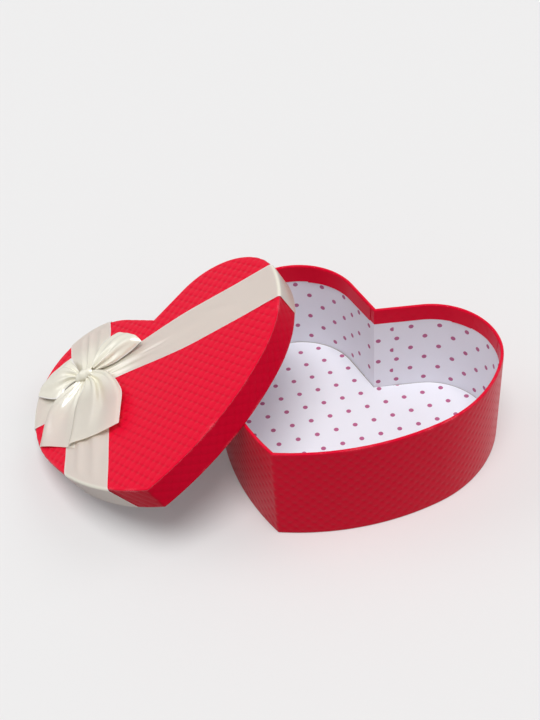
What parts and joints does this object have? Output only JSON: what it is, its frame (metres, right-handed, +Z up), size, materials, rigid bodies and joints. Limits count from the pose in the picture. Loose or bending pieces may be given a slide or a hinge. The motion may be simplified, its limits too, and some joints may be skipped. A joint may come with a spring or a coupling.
{
  "type": "heart-shaped gift box",
  "caption": "Heart-shaped rigid gift box with a lift-off telescoping lid, dotted liner and a satin ribbon cross tied in a bow; open, with the lid leaning on the base.",
  "frame": {"origin": "on the table plane, under the middle of the heart-shaped base", "axes": "+Z up, +Y from the base's tip to its cleft, +X to the base's right lobe; the lid leans on the left, at -X"},
  "size_m": [0.4411, 0.3211, 0.1631],
  "materials": {
    "red_paper": "embossed coated paper, satin",
    "greyboard": "raw greyboard",
    "dotted_paper": "matt printed paper with dots",
    "white_paper": "matt white paper",
    "satin_ribbon": "ivory satin"
  },
  "bodies": {
    "base": {"base_bottom_paper": "red_paper", "base_floor_board": "greyboard", "base_wall_board_left": "greyboard", "base_wall_board_right": "greyboard", "base_wrap": "red_paper", "base_wall_liner": "dotted_paper", "base_floor_liner": "dotted_paper"},
    "lid": {"lid_top_board": "greyboard", "lid_rim_board_left": "greyboard", "lid_rim_board_right": "greyboard", "lid_top_wrap": "red_paper", "lid_rim_wrap": "red_paper", "lid_liner": "white_paper", "ribbon_band_long": "satin_ribbon", "ribbon_band_short": "satin_ribbon", "bow_knot": "satin_ribbon", "bow_loop_left": "satin_ribbon", "bow_loop_right": "satin_ribbon", "bow_tail_left": "satin_ribbon", "bow_tail_right": "satin_ribbon"}
  },
  "joints": [
    {"name": "lid_lift", "type": "slide", "parent": "base", "child": "lid", "axis": [0, 0, 1], "range_m": [0, 0.15]}
  ]
}
